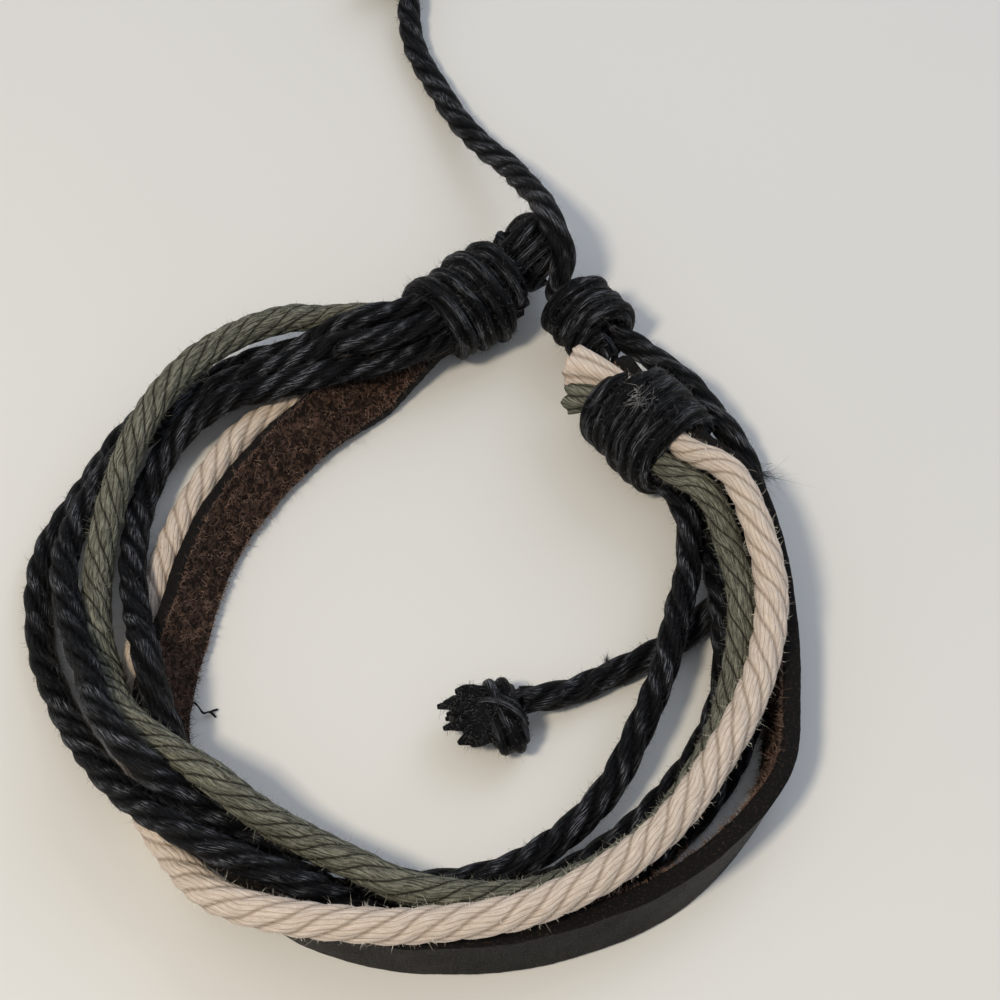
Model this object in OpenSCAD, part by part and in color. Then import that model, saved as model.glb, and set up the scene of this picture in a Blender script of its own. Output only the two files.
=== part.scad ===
// Adjustable strand bracelet, lying on its side.
// Millimetres, +Z up. The strands run counter-clockwise round a wrist hollow, from the left wrap
// to the right wrap, and the pull cords close the ring through a barrel knot.

/* [Leather strap] */
// Width of the strap
strap_width = 5.2; // [4.8:0.1:5.2]
// Thickness of the leather
strap_thickness = 1.5; // [1.2:0.1:1.5]

/* [Cords] */
// Diameter of each black waxed cord
black_diameter = 2.3; // [1.9:0.1:2.3]
// Diameter of the olive cord
olive_diameter = 2.5; // [2.1:0.1:2.5]
// Diameter of the cream cord
cream_diameter = 2.6; // [2.2:0.1:2.6]
// Diameter of a cord where a wrap grips it
gripped_diameter = 2.1; // [1.8:0.1:2.1]

/* [Wraps] */
// Outer diameter of both wraps
wrap_diameter = 9; // [8.7:0.1:9]
// Bore of both wraps, filled by the strands
wrap_bore = 7.1; // [7.1:0.1:7.3]
// Length of the left wrap
left_wrap_length = 9.5; // [8.5:0.1:9.5]
// Turns of cord on the left wrap
left_wrap_turns = 5; // [5:1:8]
// Length of the right wrap
right_wrap_length = 9; // [8.5:0.1:9]
// Turns of cord on the right wrap
right_wrap_turns = 5; // [5:1:8]

/* [Sliding knots] */
// Diameter of the round knot
round_knot_diameter = 6; // [5.6:0.1:6]
// Outer diameter of the barrel knot
barrel_knot_diameter = 6.4; // [6:0.1:6.4]
// Length of the barrel knot
barrel_knot_length = 6.2; // [5.6:0.1:6.2]
// Turns of cord on the barrel knot
barrel_knot_turns = 4; // [3:1:5]
// Bore of the barrel knot, which holds both pull cords
barrel_knot_bore = 4.2; // [4.2:0.1:4.4]

/* [Pull cords] */
// Diameter of each pull cord
pull_diameter = 2.2; // [1.8:0.1:2.2]
// Diameter of each stopper knot, before its shape is flattened
stopper_diameter = 5.4; // [4.8:0.1:5.4]
// Length of each stopper knot along its cord
stopper_length = 4; // [3.5:0.1:4]
// Length of the frayed end past each stopper knot
frayed_length = 3.2; // [2:0.1:3.2]

/* [Hidden] */
$fn = 32;

// Middle of the bracelet's box, without its pull cords, measured from the ring's centre.
// The tables below are measured from the ring's centre too, and the part's origin is this middle.
BOX_MIDDLE = [-0.81, 4.4, 0];

// Sections round the ring. Each row is one section, at an angle counter-clockwise from +X.
// Strap: radius of its middle, lean of its top edge outwards in degrees, lift of its lower edge.
STRAP_SECTIONS = [
    // angle, radius, lean, lift
    [100, 24.1, 78, 0.1], [106, 22.6, 68, 0], [112, 21.7, 60, 0], [121, 20.4, 50, 0],
    [131, 19.3, 42, 0], [142, 18.6, 38, 0], [155, 18.3, 34, 0], [170, 18.3, 32, 0],
    [185, 19.0, 33, 0], [197, 20.7, 38, 0], [208, 22.8, 44, 0], [219, 24.6, 42, 0],
    [230, 25.9, 36, 0], [241, 27.0, 16, 0], [251, 28.7, 8, 0], [260, 29.3, 2, 0],
    [272, 30.0, 0, 0], [290, 31.0, -4, 0], [310, 32.3, -2, 0], [330, 32.7, 12, 0],
    [345, 30.9, 12, 0.1], [358, 29.95, 10, 0.9], [369, 29.6, 7, 2.15], [380, 29.5, 3, 2.5]
];
// Cords: radius r and height z of each cord's centre line.
CORD_SECTIONS = [
    // angle, cream r, z, olive r, z, outer r, z, middle r, z, inner r, z
    [100, 27.2, 4.2, 30.0, 4.6, 27.8, 6.9, 25.2, 6.9, 24.2, 4.6],
    [106, 26.9, 2.7, 31.1, 3.7, 28.6, 4.8, 26.2, 6.0, 24.2, 4.8],
    [112, 25.8, 1.9, 31.5, 4.5, 28.8, 3.3, 26.5, 4.6, 24.1, 5.0],
    [121, 24.6, 1.5, 31.3, 5.2, 30.2, 2.2, 27.8, 3.6, 25.2, 4.3],
    [131, 24.0, 1.5, 30.6, 5.6, 31.0, 1.3, 29.1, 3.0, 26.7, 4.0],
    [142, 22.9, 1.5, 29.4, 5.5, 31.9, 1.25, 29.7, 2.8, 27.1, 2.8],
    [155, 22.1, 1.5, 27.9, 4.5, 31.4, 1.25, 29.8, 3.0, 25.8, 2.4],
    [170, 21.8, 1.5, 26.8, 3.2, 32.0, 1.25, 29.7, 3.3, 23.9, 3.5],
    [185, 22.3, 1.5, 26.0, 3.1, 30.9, 1.2, 27.9, 4.8, 22.5, 4.7],
    [197, 24.0, 1.4, 25.3, 3.65, 29.6, 1.9, 26.8, 5.9, 22.0, 6.6],
    [208, 25.4, 1.5, 25.15, 6.1, 28.8, 3.5, 26.9, 8.0, 22.4, 5.6],
    [219, 27.0, 1.5, 23.9, 6.6, 28.3, 4.9, 26.4, 8.4, 22.9, 3.7],
    [230, 28.2, 1.8, 23.2, 7.45, 27.9, 6.7, 25.5, 6.25, 22.5, 2.6],
    [241, 29.9, 4.7, 23.2, 6.3, 27.3, 6.7, 24.6, 4.0, 22.4, 1.8],
    [251, 30.2, 6.6, 23.3, 5.2, 27.2, 6.6, 25.3, 3.0, 22.5, 2.0],
    [260, 29.9, 7.0, 24.3, 5.55, 27.0, 4.1, 25.4, 1.5, 23.45, 3.0],
    [272, 29.7, 7.0, 26.3, 5.7, 28.0, 1.6, 25.6, 1.2, 25.0, 3.5],
    [290, 29.8, 7.0, 28.0, 4.9, 28.9, 2.3, 26.2, 1.2, 24.75, 3.4],
    [310, 29.4, 7.0, 28.3, 4.2, 28.9, 1.4, 26.0, 1.2, 23.15, 3.2],
    [330, 28.7, 7.0, 27.5, 4.1, 29.0, 1.4, 26.2, 1.2, 21.5, 3.8],
    [345, 28.9, 7.0, 27.0, 4.6, 28.6, 1.8, 26.25, 1.8, 21.3, 4.0],
    [358, 29.0, 7.5, 26.8, 5.9, 27.75, 2.8, 25.4, 3.8, 21.8, 4.0],
    [369, 28.4, 8.6, 26.3, 6.1, 27.5, 4.0, 25.35, 3.1, 23.1, 3.7],
    [380, 27.9, 8.75, 26.1, 6.3, 27.5, 4.3, 26.0, 2.3, 24.3, 3.9]
];
// First column of each cord in CORD_SECTIONS
CREAM = 1;
OLIVE = 3;
OUTER = 5;
MIDDLE = 7;
INNER = 9;

// Wraps: the middle of the mouth where the strands go in, and the way from there along the wrap.
wrap_height = wrap_diameter / 2;
LEFT_MOUTH = [0.14, 28.0, wrap_height];
left_heading = 35;
RIGHT_MOUTH = [22.8, 13.6, wrap_height];
right_heading = 128;

// Slots in a wrap, from its axis: out from the ring's centre, then up.
// Rows: strap, cream, olive, outer, middle, inner.
LEFT_SLOTS = [[0, -1.75], [0, 0.1], [2.2, 0.1], [1.1, 2.1], [-1.1, 2.1], [-2.2, 0.1]];
RIGHT_SLOTS = [[1.65, 0], [-0.15, 2.2], [-2.1, 1.1], [-0.15, 0], [-0.15, -2.2], [-2.1, -1.1]];

// Tips of the cut ends past the right wrap
CREAM_TIP = [13.8, 23.0, 5.6];
OLIVE_TIP = [13.42, 20.4, 4.5];
STRAP_TIP = [17.15, 23.6, 5.5];

// Sliding knots: their middles, the way of the ball's axis and the heading of the barrel's
ROUND_KNOT = [9.8, 36.8, 4.6];
round_knot_way = [0.52, -0.62, 0.58];
BARREL_KNOT = [14.95, 29.55, 4.2];
barrel_heading = -52;

// Routes of the pull cords
TOP_ROUTE = [
    [16.97, 20.82, 2.3], [16.35, 21.7, 2.1], [15.8, 22.7, 1.75], [15.75, 23.8, 1.6],
    [15.85, 24.9, 1.85], [16.6, 25.55, 3.25], [16.1, 26.4, 4.3], [14.2, 28.96, 4.6],
    [12.3, 31.4, 4.75], [12.5, 33.1, 5.6], [12.85, 34.6, 6.6], [12.5, 35.8, 7.6],
    [11.75, 37.5, 8.35], [11.2, 39.4, 7.9], [10.78, 40.9, 7.2], [10.0, 43.1, 6.2],
    [9.15, 44.9, 5.5], [8.1, 47.7, 4.2], [5.7, 51.4, 3.0], [3.2, 55.8, 2.0],
    [1.2, 60.4, 1.4], [-0.5, 64.2, 1.2], [-1.6, 67.4, 1.2], [-2.1, 70.4, 1.6], [-2.2, 74.8, 2.3]
];
INNER_ROUTE = [
    [12.02, 34.49, 4.08], [12.85, 33.65, 3.5], [13.83, 32.6, 3.8], [15.74, 30.17, 3.9],
    [17.65, 27.7, 3.9], [19.15, 26.8, 3.7], [20.45, 25.7, 3.5], [22.2, 23.8, 3.9],
    [23.9, 21.95, 4.0], [25.45, 19.5, 3.9], [27.05, 17.4, 3.3], [27.8, 16.4, 2.7],
    [28.6, 14.8, 2.0], [29.0, 13.4, 1.4], [29.1, 11.6, 1.2], [28.8, 9.6, 1.15],
    [28.2, 7.5, 1.15], [27.4, 5.3, 1.15], [26.4, 3.2, 1.15], [25.3, 1.4, 1.15],
    [24.15, 0.05, 1.2], [22.85, -1.4, 1.2], [20.7, -2.9, 1.2], [18.6, -4.15, 1.2],
    [16.9, -5.1, 1.2], [15.3, -5.9, 1.25], [13.6, -6.8, 1.3], [12.0, -7.5, 1.65],
    [10.35, -8.05, 2.05], [8.8, -8.35, 2.25]
];

// Lengths of one facet along a strand and along a pull cord
strand_step = 2.9;
pull_step = 5;
strand_sides = 10;
pull_sides = 8;
// Chamfer along the strap's cut edges
strap_chamfer = 0.25;
// Part of the strap's width and thickness that is left inside a wrap
gripped_strap = 0.94;
// Clear space between a cord's end and the knot that it goes into
seat_gap = 0.1;
// Share of its size that a pull cord loses in the middle of the barrel knot
knot_squeeze = 0.3;
// Shares of its diameter that a stopper knot has in height and width, and its shift to one side
stopper_height = 0.8;
stopper_width = 1.25;
stopper_shift = 1.3;
// Colours
BLACK = [0.09, 0.09, 0.11];
LEATHER = [0.24, 0.15, 0.12];
CREAM_COLOUR = [0.86, 0.79, 0.70];
OLIVE_COLOUR = [0.33, 0.34, 0.26];

function unit(v) = v / norm(v);
function place(p) = [p.x, p.y, p.z];
function polar(angle, r, z) = [r * cos(angle), r * sin(angle), z];
function heading(angle) = [cos(angle), sin(angle), 0];
// A level vector to the right of a way along the ground, which is outwards for the strands
function outward(way) = unit([way.y, -way.x, 0]);

// Running length at each point of a route
function running(route) = [
    for (k = 0, s = 0; k < len(route);
         s = s + (k < len(route) - 1 ? norm(place(route[k + 1]) - place(route[k])) : 0), k = k + 1) s
];
function slope(route, s, k) =
    let (a = max(0, k - 1), b = min(len(route) - 1, k + 1)) (route[b] - route[a]) / (s[b] - s[a]);
// A point of the smooth curve through a route's points, a share u past point k
function between(route, s, k, u) =
    let (h = s[k + 1] - s[k], u2 = u * u, u3 = u2 * u)
    (2 * u3 - 3 * u2 + 1) * route[k] + (u3 - 2 * u2 + u) * h * slope(route, s, k)
    + (3 * u2 - 2 * u3) * route[k + 1] + (u3 - u2) * h * slope(route, s, k + 1);
function smooth(route, step) =
    let (s = running(route))
    [
        for (k = [0:len(route) - 2])
            let (n = max(1, ceil((s[k + 1] - s[k]) / step)))
            for (j = [0:n - 1]) between(route, s, k, j / n),
        route[len(route) - 1]
    ];
function way_at(path, k) =
    unit(place(path[min(len(path) - 1, k + 1)]) - place(path[max(0, k - 1)]));

// One round ring of a cord, whose points are [x, y, z, radius]
function cord_ring(path, k, sides) =
    let (way = way_at(path, k), side = outward(way), up = cross(side, way))
    [
        for (i = [0:sides - 1])
            let (a = 90 + 360 * i / sides)
            place(path[k]) + path[k][3] * (cos(a) * side + sin(a) * up)
    ];
// One section of the strap, whose points are [x, y, z, lean, scale]
function strap_ring(path, k) =
    let (
        way = way_at(path, k), side = outward(way), up = cross(side, way), lean = path[k][3],
        across = sin(lean) * side + cos(lean) * up, face = cos(lean) * side - sin(lean) * up,
        w = strap_width / 2 * path[k][4], t = strap_thickness / 2 * path[k][4], c = strap_chamfer,
        outline = [
            [w - c, t], [w, t - c], [w, c - t], [w - c, -t],
            [c - w, -t], [-w, c - t], [-w, t - c], [c - w, t]
        ]
    )
    [for (p = outline) place(path[k]) + p.x * across + p.y * face];

// Moves a piece from the tables' frame to the part's own frame
module placed() translate(-BOX_MIDDLE) children();

// Closed skin over rings that all have the same number of points
module skin(rings) {
    n = len(rings[0]);
    last = len(rings) - 1;
    points = [for (ring = rings) each ring];
    walls = [
        for (k = [0:last - 1]) for (i = [0:n - 1])
            let (j = (i + 1) % n, a = k * n + i, b = k * n + j, c = a + n, d = b + n)
            each [[a, b, d], [a, d, c]]
    ];
    start = [for (i = [1:n - 2]) [0, i + 1, i]];
    end = [for (i = [1:n - 2]) [last * n, last * n + i, last * n + i + 1]];
    polyhedron(points = points, faces = concat(walls, start, end));
}

// A place in a wrap: along it from the mouth, in the slot given
function in_wrap(mouth, angle, slot, along, side_sign) =
    mouth + along * heading(angle) + slot.x * side_sign * outward(heading(angle)) + [0, 0, slot.y];
function left_place(slot, along) = in_wrap(LEFT_MOUTH, left_heading, slot, along, -1);
function right_place(slot, along) = in_wrap(RIGHT_MOUTH, right_heading, slot, along, 1);

// Height of the strap's middle over the surface, for a lean and a lift of its lower edge
function strap_height(lean, lift) =
    strap_width / 2 * cos(lean) + strap_thickness / 2 * abs(sin(lean)) + lift;

// Lengths along each wrap at which a strand's route has a point, in the strand's own order
LEFT_STEPS = [left_wrap_length, left_wrap_length / 2, 0];
RIGHT_STEPS = [0, right_wrap_length / 2, right_wrap_length];
// Rows of CORD_SECTIONS over which a cord swells from its gripped size to its full one
swell_rows = 3;

// A cord from the left wrap's far end to the right wrap's, and on to its tip if it has one
module cord(column, slot, diameter, tip) {
    grip = gripped_diameter / 2;
    r = diameter / 2;
    rows = len(CORD_SECTIONS);
    route = concat(
        [for (along = LEFT_STEPS) [each left_place(LEFT_SLOTS[slot], along), grip]],
        [
            for (k = [0:rows - 1])
                let (row = CORD_SECTIONS[k], swell = min(1, (k + 1) / swell_rows, (rows - k) / swell_rows))
                [each polar(row[0], row[column], row[column + 1]), grip + (r - grip) * swell]
        ],
        [for (along = RIGHT_STEPS) [each right_place(RIGHT_SLOTS[slot], along), grip]],
        tip == undef ? [] : [[each tip, r]]
    );
    path = smooth(route, strand_step);
    skin([for (k = [0:len(path) - 1]) cord_ring(path, k, strand_sides)]);
}

// The strap lies flat in the left wrap and on edge in the right one
module leather_strap() {
    route = concat(
        [for (along = LEFT_STEPS) [each left_place(LEFT_SLOTS[0], along), 90, gripped_strap]],
        [
            for (row = STRAP_SECTIONS)
                [each polar(row[0], row[1], strap_height(row[2], row[3])), row[2], 1]
        ],
        [for (along = RIGHT_STEPS) [each right_place(RIGHT_SLOTS[0], along), 0, gripped_strap]],
        [[each STRAP_TIP, 0, gripped_strap]]
    );
    path = smooth(route, strand_step);
    color(LEATHER) placed() skin([for (k = [0:len(path) - 1]) strap_ring(path, k)]);
}
module cream_cord() color(CREAM_COLOUR) placed() cord(CREAM, 1, cream_diameter, CREAM_TIP);
module olive_cord() color(OLIVE_COLOUR) placed() cord(OLIVE, 2, olive_diameter, OLIVE_TIP);
module black_cord_outer() color(BLACK) placed() cord(OUTER, 3, black_diameter, undef);
module black_cord_middle() color(BLACK) placed() cord(MIDDLE, 4, black_diameter, undef);
module black_cord_inner() color(BLACK) placed() cord(INNER, 5, black_diameter, undef);

// Turns of cord wound side by side into a barrel with a bore, from the origin along +Z
module wound_barrel(length, diameter, bore, turns) {
    pitch = length / turns;
    turn_r = pitch * 0.54;
    rotate_extrude() difference() {
        union() {
            square([diameter / 2 - turn_r, length]);
            for (i = [0:turns - 1])
                translate([diameter / 2 - turn_r, pitch * (i + 0.5)]) circle(r = turn_r);
        }
        translate([0, -length]) square([bore / 2, length * 3]);
    }
}
// Angles that turn +Z to a way
function turn_to(way) = [0, acos(unit(way).z), atan2(way.y, way.x)];
module lay_along(start, angle) translate(start) rotate([0, 90, angle]) children();

module left_wrap() color(BLACK) placed() lay_along(LEFT_MOUTH, left_heading)
    wound_barrel(left_wrap_length, wrap_diameter, wrap_bore, left_wrap_turns);
module right_wrap() color(BLACK) placed() lay_along(RIGHT_MOUTH, right_heading)
    wound_barrel(right_wrap_length, wrap_diameter, wrap_bore, right_wrap_turns);

// A ball of cord turns about +Z, centred on the origin
module wound_ball(diameter) {
    turn_r = diameter * 0.14;
    sphere(d = diameter - turn_r);
    rotate_extrude()
        for (a = [-60:24:60])
            translate((diameter / 2 - turn_r) * [cos(a), sin(a)]) circle(r = turn_r);
}
module round_slide_knot() color(BLACK) placed() translate(ROUND_KNOT) rotate(turn_to(round_knot_way))
    wound_ball(round_knot_diameter);
module barrel_slide_knot() color(BLACK) placed()
    lay_along(BARREL_KNOT - barrel_knot_length / 2 * heading(barrel_heading), barrel_heading)
    wound_barrel(barrel_knot_length, barrel_knot_diameter, barrel_knot_bore, barrel_knot_turns);

// Radius of a pull cord at a point, which the barrel knot squeezes
function squeezed(p) =
    let (near = max(0, 1 - norm(p - BARREL_KNOT) / barrel_knot_length))
    pull_diameter / 2 * (1 - knot_squeeze * near);
module pull_cord(route) {
    path = smooth([for (p = route) [each p, squeezed(p)]], pull_step);
    skin([for (k = [0:len(path) - 1]) cord_ring(path, k, pull_sides)]);
}
// A knot past a pull cord's last point, on the way of its last stretch, with a frayed end behind
module stopper_knot(route) {
    last = len(route) - 1;
    way = unit(route[last] - route[last - 1]);
    turn_r = stopper_length / 4;
    translate(route[last] + seat_gap * way) rotate(turn_to(way)) translate([0, stopper_shift, 0])
    scale([stopper_height, stopper_width, 1]) {
        rotate_extrude() union() {
            square([stopper_diameter / 2 - turn_r, stopper_length]);
            for (i = [0:1])
                translate([stopper_diameter / 2 - turn_r, turn_r * (1 + 2 * i)]) circle(r = turn_r);
        }
        translate([0, 0, stopper_length - 0.2])
            cylinder(d1 = pull_diameter * 1.2, d2 = pull_diameter * 1.7, h = frayed_length + 0.2);
    }
}
module top_pull_cord() color(BLACK) placed() pull_cord(TOP_ROUTE);
module top_stopper_knot() color(BLACK) placed() stopper_knot(TOP_ROUTE);
module inner_pull_cord() color(BLACK) placed() pull_cord(INNER_ROUTE);
module inner_stopper_knot() color(BLACK) placed() stopper_knot(INNER_ROUTE);

leather_strap();
cream_cord();
olive_cord();
black_cord_outer();
black_cord_middle();
black_cord_inner();
left_wrap();
right_wrap();
round_slide_knot();
barrel_slide_knot();
top_pull_cord();
top_stopper_knot();
inner_pull_cord();
inner_stopper_knot();
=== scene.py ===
"""Adjustable strand bracelet, lying on its side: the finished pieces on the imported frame."""
import math
from collections import namedtuple

import bpy
import mathutils
import numpy as np
from bpy.props import FloatProperty, FloatVectorProperty, IntProperty, PointerProperty
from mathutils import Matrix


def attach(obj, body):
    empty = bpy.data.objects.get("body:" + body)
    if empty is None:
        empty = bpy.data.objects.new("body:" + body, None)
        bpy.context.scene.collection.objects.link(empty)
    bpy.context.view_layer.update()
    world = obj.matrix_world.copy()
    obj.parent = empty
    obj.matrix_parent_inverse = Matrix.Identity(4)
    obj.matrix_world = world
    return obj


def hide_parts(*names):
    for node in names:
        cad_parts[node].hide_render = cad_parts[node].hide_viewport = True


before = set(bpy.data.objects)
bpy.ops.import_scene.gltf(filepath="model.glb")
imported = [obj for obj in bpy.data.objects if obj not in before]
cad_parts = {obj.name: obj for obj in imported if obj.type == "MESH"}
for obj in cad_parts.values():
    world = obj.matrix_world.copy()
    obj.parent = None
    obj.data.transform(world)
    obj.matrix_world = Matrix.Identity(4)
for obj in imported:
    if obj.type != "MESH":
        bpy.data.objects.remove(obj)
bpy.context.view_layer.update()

bl_info = {
    "name": "Strand Bracelet",
    "version": (1, 0, 0),
    "blender": (4, 5, 0),
    "location": "View3D > Sidebar > Bracelet",
    "description": "Models a bracelet of cords and a leather strap with wound knots",
    "category": "Add Mesh",
}

# Tables and routes are in millimetres, from the ring's centre, as in the part's source
MM = 0.001
BOX_MIDDLE = np.array([-0.81, 4.4, 0.0])

# Strap sections: angle round the ring, radius, outward lean in degrees, lift of the lower edge
STRAP_SECTIONS = (
    (100, 24.1, 78, 0.1), (106, 22.6, 68, 0), (112, 21.7, 60, 0), (121, 20.4, 50, 0),
    (131, 19.3, 42, 0), (142, 18.6, 38, 0), (155, 18.3, 34, 0), (170, 18.3, 32, 0),
    (185, 19.0, 33, 0), (197, 20.7, 38, 0), (208, 22.8, 44, 0), (219, 24.6, 42, 0),
    (230, 25.9, 36, 0), (241, 27.0, 16, 0), (251, 28.7, 8, 0), (260, 29.3, 2, 0),
    (272, 30.0, 0, 0), (290, 31.0, -4, 0), (310, 32.3, -2, 0), (330, 32.7, 12, 0),
    (345, 30.9, 12, 0.1), (358, 29.95, 10, 0.9), (369, 29.6, 7, 2.15), (380, 29.5, 3, 2.5),
)
# Cord sections: angle, then radius and height of the cream, olive, outer, middle and inner cords
CORD_SECTIONS = (
    (100, 27.2, 4.2, 30.0, 4.6, 27.8, 6.9, 25.2, 6.9, 24.2, 4.6),
    (106, 26.9, 2.7, 31.1, 3.7, 28.6, 4.8, 26.2, 6.0, 24.2, 4.8),
    (112, 25.8, 1.9, 31.5, 4.5, 28.8, 3.3, 26.5, 4.6, 24.1, 5.0),
    (121, 24.6, 1.5, 31.3, 5.2, 30.2, 2.2, 27.8, 3.6, 25.2, 4.3),
    (131, 24.0, 1.5, 30.6, 5.6, 31.0, 1.3, 29.1, 3.0, 26.7, 4.0),
    (142, 22.9, 1.5, 29.4, 5.5, 31.9, 1.25, 29.7, 2.8, 27.1, 2.8),
    (155, 22.1, 1.5, 27.9, 4.5, 31.4, 1.25, 29.8, 3.0, 25.8, 2.4),
    (170, 21.8, 1.5, 26.8, 3.2, 32.0, 1.25, 29.7, 3.3, 23.9, 3.5),
    (185, 22.3, 1.5, 26.0, 3.1, 30.9, 1.2, 27.9, 4.8, 22.5, 4.7),
    (197, 24.0, 1.4, 25.3, 3.65, 29.6, 1.9, 26.8, 5.9, 22.0, 6.6),
    (208, 25.4, 1.5, 25.15, 6.1, 28.8, 3.5, 26.9, 8.0, 22.4, 5.6),
    (219, 27.0, 1.5, 23.9, 6.6, 28.3, 4.9, 26.4, 8.4, 22.9, 3.7),
    (230, 28.2, 1.8, 23.2, 7.45, 27.9, 6.7, 25.5, 6.25, 22.5, 2.6),
    (241, 29.9, 4.7, 23.2, 6.3, 27.3, 6.7, 24.6, 4.0, 22.4, 1.8),
    (251, 30.2, 6.6, 23.3, 5.2, 27.2, 6.6, 25.3, 3.0, 22.5, 2.0),
    (260, 29.9, 7.0, 24.3, 5.55, 27.0, 4.1, 25.4, 1.5, 23.45, 3.0),
    (272, 29.7, 7.0, 26.3, 5.7, 28.0, 1.6, 25.6, 1.2, 25.0, 3.5),
    (290, 29.8, 7.0, 28.0, 4.9, 28.9, 2.3, 26.2, 1.2, 24.75, 3.4),
    (310, 29.4, 7.0, 28.3, 4.2, 28.9, 1.4, 26.0, 1.2, 23.15, 3.2),
    (330, 28.7, 7.0, 27.5, 4.1, 29.0, 1.4, 26.2, 1.2, 21.5, 3.8),
    (345, 28.9, 7.0, 27.0, 4.6, 28.6, 1.8, 26.25, 1.8, 21.3, 4.0),
    (358, 29.0, 7.5, 26.8, 5.9, 27.75, 2.8, 25.4, 3.8, 21.8, 4.0),
    (369, 28.4, 8.6, 26.3, 6.1, 27.5, 4.0, 25.35, 3.1, 23.1, 3.7),
    (380, 27.9, 8.75, 26.1, 6.3, 27.5, 4.3, 26.0, 2.3, 24.3, 3.9),
)
CREAM, OLIVE, OUTER, MIDDLE, INNER = 1, 3, 5, 7, 9

WRAP_DIAMETER = 9.0
LEFT_MOUTH, LEFT_HEADING, LEFT_LENGTH = (0.14, 28.0, WRAP_DIAMETER / 2), 35, 9.5
RIGHT_MOUTH, RIGHT_HEADING, RIGHT_LENGTH = (22.8, 13.6, WRAP_DIAMETER / 2), 128, 9.0
# Slots in the wraps, out from the ring and up: strap, cream, olive, outer, middle, inner
LEFT_SLOTS = ((0, -1.75), (0, 0.1), (2.2, 0.1), (1.1, 2.1), (-1.1, 2.1), (-2.2, 0.1))
RIGHT_SLOTS = ((1.65, 0), (-0.15, 2.2), (-2.1, 1.1), (-0.15, 0), (-0.15, -2.2), (-2.1, -1.1))
CREAM_TIP, OLIVE_TIP, STRAP_TIP = (13.8, 23.0, 5.6), (13.42, 20.4, 4.5), (17.15, 23.6, 5.5)
ROUND_KNOT, ROUND_TURNS_WAY = (9.8, 36.8, 4.6), (0.60, -0.66, -0.45)
BARREL_KNOT, BARREL_HEADING = (14.95, 29.55, 4.2), -52

TOP_ROUTE = (
    (16.97, 20.82, 2.3), (16.35, 21.7, 2.1), (15.8, 22.7, 1.75), (15.75, 23.8, 1.6),
    (15.85, 24.9, 1.85), (16.6, 25.55, 3.25), (16.1, 26.4, 4.3), (14.2, 28.96, 4.6),
    (12.3, 31.4, 4.75), (12.5, 33.1, 5.6), (12.85, 34.6, 6.6), (12.5, 35.8, 7.6),
    (11.75, 37.5, 8.35), (11.2, 39.4, 7.9), (10.78, 40.9, 7.2), (10.0, 43.1, 6.2),
    (9.15, 44.9, 5.5), (8.1, 47.7, 4.2), (5.7, 51.4, 3.0), (3.2, 55.8, 2.0),
    (1.2, 60.4, 1.4), (-0.5, 64.2, 1.2), (-1.6, 67.4, 1.2), (-2.1, 70.4, 1.6), (-2.2, 74.8, 2.3),
)
INNER_ROUTE = (
    (12.02, 34.49, 4.08), (12.85, 33.65, 3.5), (13.83, 32.6, 3.8), (15.74, 30.17, 3.9),
    (17.65, 27.7, 3.9), (19.15, 26.8, 3.7), (20.45, 25.7, 3.5), (22.2, 23.8, 3.9),
    (23.9, 21.95, 4.0), (25.45, 19.5, 3.9), (27.05, 17.4, 3.3), (27.8, 16.4, 2.7),
    (28.6, 14.8, 2.0), (29.0, 13.4, 1.4), (29.1, 11.6, 1.2), (28.8, 9.6, 1.15),
    (28.2, 7.5, 1.15), (27.4, 5.3, 1.15), (26.4, 3.2, 1.15), (25.3, 1.4, 1.15),
    (24.15, 0.05, 1.2), (22.85, -1.4, 1.2), (20.7, -2.9, 1.2), (18.6, -4.15, 1.2),
    (16.9, -5.1, 1.2), (15.3, -5.9, 1.25), (13.6, -6.8, 1.3), (12.0, -7.5, 1.65),
    (10.35, -8.05, 2.05), (8.8, -8.35, 2.25),
)

# Frayed plies past a stopper knot, from its middle: where each starts and where its tip lies
FRAYED_PLIES = (
    # start sideways, start up, tip along, tip sideways, tip up
    (-1.0, 0.6, 6.8, -1.6, -0.2), (-1.7, 0.3, 5.2, -2.6, 0.2), (0.2, 0.2, 6.6, 0.2, -0.6),
    (0.9, -0.2, 5.6, 1.5, -0.9), (1.5, 0.3, 4.7, 2.0, -0.5), (-0.4, -0.4, 6.2, -0.8, -0.9),
    (0.6, 0.9, 5.7, 0.8, 0.3), (-1.3, -0.2, 6.1, -2.2, -0.7), (1.2, 0.6, 5.3, 1.3, 0.4),
    (0.0, 1.0, 6.3, -0.5, 0.4),
)

UP = np.array([0.0, 0.0, 1.0])


def millimetres(name, description, default):
    """A size in millimetres, as in the tables."""
    return FloatProperty(name=name, description=description + ", mm", default=default)


def tint(name, description, default):
    return FloatVectorProperty(name=name, description=description, subtype="COLOR", default=default)


class StrandSizes(bpy.types.PropertyGroup):
    """Sizes of the strands, in millimetres."""
    cream: millimetres("Cream cord", "Diameter of the cream cord", 2.78)
    olive: millimetres("Olive cord", "Diameter of the olive cord", 2.62)
    black: millimetres("Black cords", "Diameter of the black cords", 2.45)
    gripped: millimetres("Gripped", "Cord diameter inside a wrap", 2.15)
    pull: millimetres("Pull cords", "Diameter of the pull cords", 2.36)
    strap_width: millimetres("Strap width", "Width of the strap", 5.25)
    strap_thickness: millimetres("Strap thickness", "Thickness of the leather", 1.5)
    step: millimetres("Ring step", "Length between rings of a cord", 0.3)
    sides: IntProperty(name="Sides", description="Points round a strand", default=44)


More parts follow.
